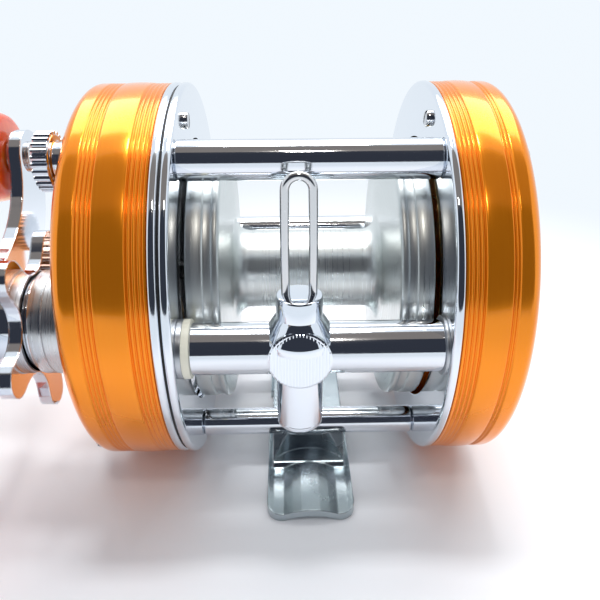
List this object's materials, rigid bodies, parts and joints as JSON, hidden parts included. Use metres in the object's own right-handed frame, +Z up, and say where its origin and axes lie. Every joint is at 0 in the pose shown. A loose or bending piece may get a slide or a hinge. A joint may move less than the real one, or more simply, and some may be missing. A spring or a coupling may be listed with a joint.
{
  "type": "baitcasting reel",
  "caption": "Round multiplier fishing reel with side covers, pillars, spool, level wind, star drag, double handle and clamp foot.",
  "frame": {"origin": "middle of the foot's underside, where it lies on the rod's seat", "axes": "+X along the spool's axis towards the palm side, -X towards the handle, -Y towards the rod's tip, +Z up from the rod"},
  "size_m": [0.0981, 0.0764, 0.061],
  "materials": {
    "orange_anodised": "polished orange anodising over turned aluminium",
    "chrome": "mirror chrome plate",
    "satin_chrome": "satin chrome plate",
    "guide_chrome": "semi-bright chrome plate",
    "knurled_chrome": "bright knurled chrome",
    "wire_steel": "drawn stainless wire",
    "steel": "ground steel",
    "screw_steel": "turned steel",
    "brushed_metal": "turned and brushed",
    "black_gasket": "matt black",
    "bronze": "sintered bronze",
    "brass": "machined brass",
    "grey_washer": "dull grey",
    "ivory_plastic": "ivory acetal",
    "spool_aluminium": "satin turned arbor, polished rims",
    "black_plastic": "moulded",
    "red_plastic": "moulded",
    "drag_fibre": "woven fibre",
    "pearl_knob": "orange-red pearl"
  },
  "bodies": {
    "frame": {"handle_ring": "chrome", "palm_ring": "chrome", "gasket": "black_gasket", "gear_plate": "chrome", "handle_cover": "orange_anodised", "palm_cover": "orange_anodised", "top_bar": "chrome", "rear_bar": "chrome", "lower_bars": "chrome", "foot": "satin_chrome", "foot_rivets": "steel", "plate_screws": "screw_steel", "cover_screws": "screw_steel", "thumb_screws": "knurled_chrome", "boss_sleeve": "brushed_metal", "one_way_bearing": "steel", "drive_bush": "bronze", "spool_bearings": "steel", "brake_ring": "brass", "clutch_yoke": "steel", "yoke_springs": "steel", "wind_tube": "chrome", "wind_washers": "grey_washer", "worm_bushes": "ivory_plastic"},
    "spool_body": {"spool": "spool_aluminium", "spool_shaft": "steel", "brake_hub": "black_plastic", "brake_blocks": "red_plastic", "pinion": "brass"},
    "handle": {"drive_shaft": "steel", "main_gear": "brass", "drag_washers": "drag_fibre", "wind_gear": "ivory_plastic", "clutch_sleeve": "steel", "handle_arm": "chrome", "handle_nut": "chrome", "nut_keeper": "chrome", "knob_spindles": "steel", "knob_screws": "screw_steel"},
    "star": {"star_wheel": "chrome", "star_spring": "bronze"},
    "knob_rear": {"rear_knob": "pearl_knob"},
    "knob_front": {"front_knob": "pearl_knob"},
    "worm_body": {"worm": "steel", "worm_gear": "ivory_plastic"},
    "guide": {"line_guide": "guide_chrome", "guide_wire": "wire_steel", "guide_pawl": "bronze", "pawl_cap": "guide_chrome"},
    "button": {"thumb_button": "knurled_chrome"},
    "tension": {"tension_cap": "knurled_chrome", "tension_shims": "bronze"}
  },
  "joints": [
    {"name": "handle_turn", "type": "hinge", "parent": "frame", "child": "handle", "pos_m": [0, -0.01545, 0.02965], "axis": [1, 0, 0], "continuous": true},
    {"name": "spool_spin", "type": "hinge", "parent": "frame", "child": "spool_body", "pos_m": [0, 0, 0.031], "axis": [1, 0, 0], "continuous": true},
    {"name": "worm_spin", "type": "hinge", "parent": "frame", "child": "worm_body", "pos_m": [0, -0.0255, 0.03055], "axis": [1, 0, 0], "continuous": true},
    {"name": "star_turn", "type": "hinge", "parent": "handle", "child": "star", "pos_m": [0, -0.01545, 0.02965], "axis": [1, 0, 0], "range_deg": [-150, 150]},
    {"name": "rear_knob_spin", "type": "hinge", "parent": "handle", "child": "knob_rear", "pos_m": [-0.04595, 0.00787, 0.04853], "axis": [1, 0, 0], "continuous": true},
    {"name": "front_knob_spin", "type": "hinge", "parent": "handle", "child": "knob_front", "pos_m": [-0.04595, -0.03876, 0.01077], "axis": [1, 0, 0], "continuous": true},
    {"name": "guide_slide", "type": "slide", "parent": "frame", "child": "guide", "axis": [1, 0, 0], "range_m": [-0.00905, 0.01235]},
    {"name": "button_press", "type": "slide", "parent": "frame", "child": "button", "axis": [0, -0.866, -0.5], "range_m": [0, 0.0016], "stiffness_N_per_m": 400, "springref_m": -0.0005},
    {"name": "tension_turn", "type": "hinge", "parent": "frame", "child": "tension", "pos_m": [0, 0, 0.031], "axis": [1, 0, 0], "range_deg": [-170, 170]}
  ],
  "couplings": [
    {"joint": "spool_spin", "follows": "handle_turn", "ratio": -4.1818},
    {"joint": "worm_spin", "follows": "handle_turn", "ratio": -2.8333}
  ]
}
